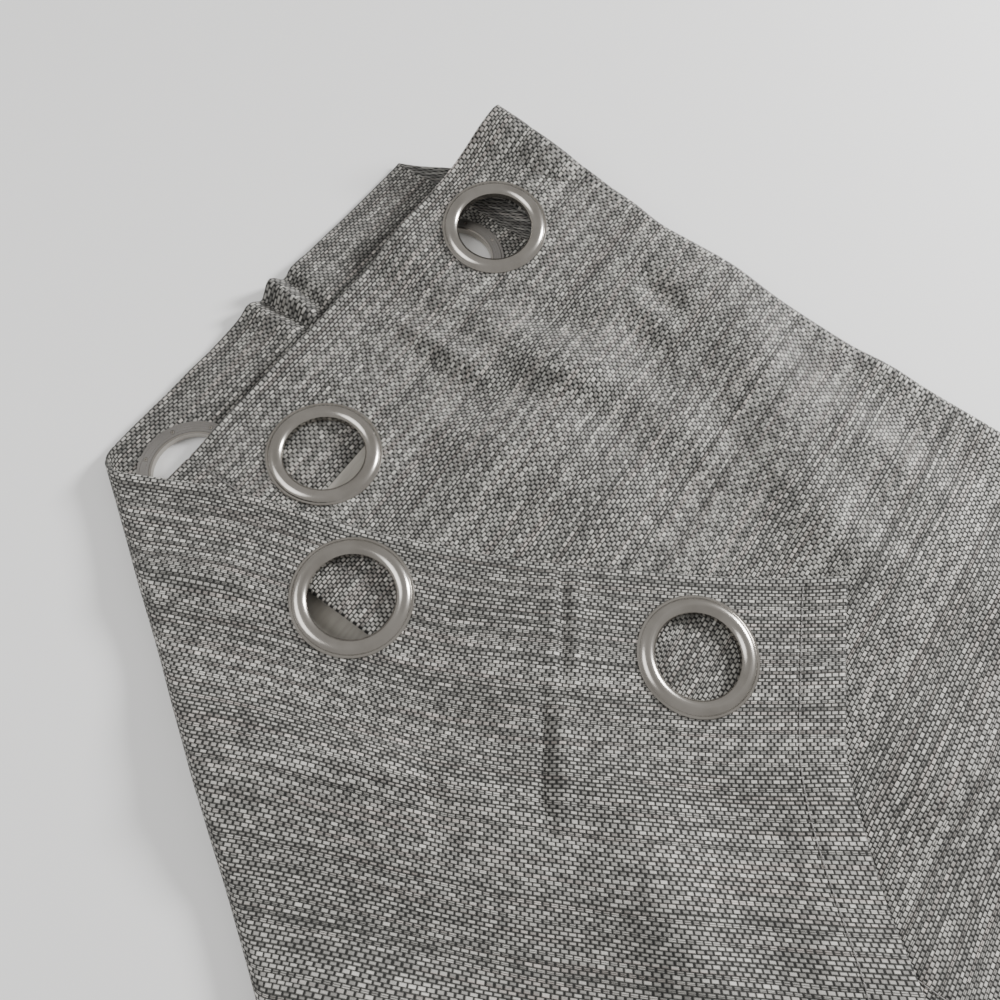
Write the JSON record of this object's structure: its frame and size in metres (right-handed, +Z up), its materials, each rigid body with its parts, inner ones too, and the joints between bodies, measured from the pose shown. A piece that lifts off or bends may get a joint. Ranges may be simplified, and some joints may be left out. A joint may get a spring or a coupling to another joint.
{
  "type": "curtain panel",
  "caption": "Lined linen-look curtain panel with a row of metal eyelet rings in its stiffened header, lying folded with one corner flap turned over on a diagonal fold.",
  "frame": {"origin": "centre of the folded panel's box, on the surface that it lies on", "axes": "+X runs down the panel's length along the base run, from the top edge to the far bend; +Y runs across it, from the diagonal fold's side to the open side fold; +Z up"},
  "size_m": [0.954, 0.672, 0.0261],
  "materials": {
    "face_cloth": "coarse plain weave, linen look, slight sheen",
    "lining": "smooth plain lining",
    "header_band": "woven facing over a stiff band",
    "ring_metal": "satin nickel",
    "ring_back_metal": "satin nickel, flat pressed"
  },
  "bodies": {
    "root": {"base_run_face": "face_cloth", "base_far_face": "face_cloth", "front_run_face": "face_cloth", "front_corner_face": "face_cloth", "front_far_face": "face_cloth", "side_fold": "face_cloth", "flap_fold": "face_cloth", "bottom_hem": "face_cloth", "base_side_hem": "face_cloth", "front_side_hem": "face_cloth", "length_fold_1": "face_cloth", "length_fold_2": "face_cloth", "length_fold_3": "face_cloth", "length_fold_4": "face_cloth", "length_bend_1": "face_cloth", "length_bend_2": "face_cloth", "length_bend_3": "face_cloth", "length_bend_4": "face_cloth", "base_run_lining": "lining", "front_run_lining": "lining", "base_header_band": "header_band", "front_header_band": "header_band", "ring_front_3": "ring_metal", "ring_front_4": "ring_metal", "ring_front_5": "ring_metal", "ring_front_6": "ring_metal", "ring_back_3": "ring_back_metal", "ring_back_4": "ring_back_metal", "ring_back_5": "ring_back_metal", "ring_back_6": "ring_back_metal"},
    "flap": {"flap_face": "face_cloth", "flap_header_band": "header_band", "flap_lining": "lining", "flap_side_hem": "face_cloth", "ring_front_1": "ring_metal", "ring_back_1": "ring_back_metal", "ring_front_2": "ring_metal", "ring_back_2": "ring_back_metal"}
  },
  "joints": [
    {"name": "flap_turn", "type": "hinge", "parent": "root", "child": "flap", "pos_m": [-0.477, 0.05156, 0.00645], "axis": [0.8526, -0.5225, 0], "range_deg": [0, 160], "deforming": ["flap_fold"]}
  ]
}
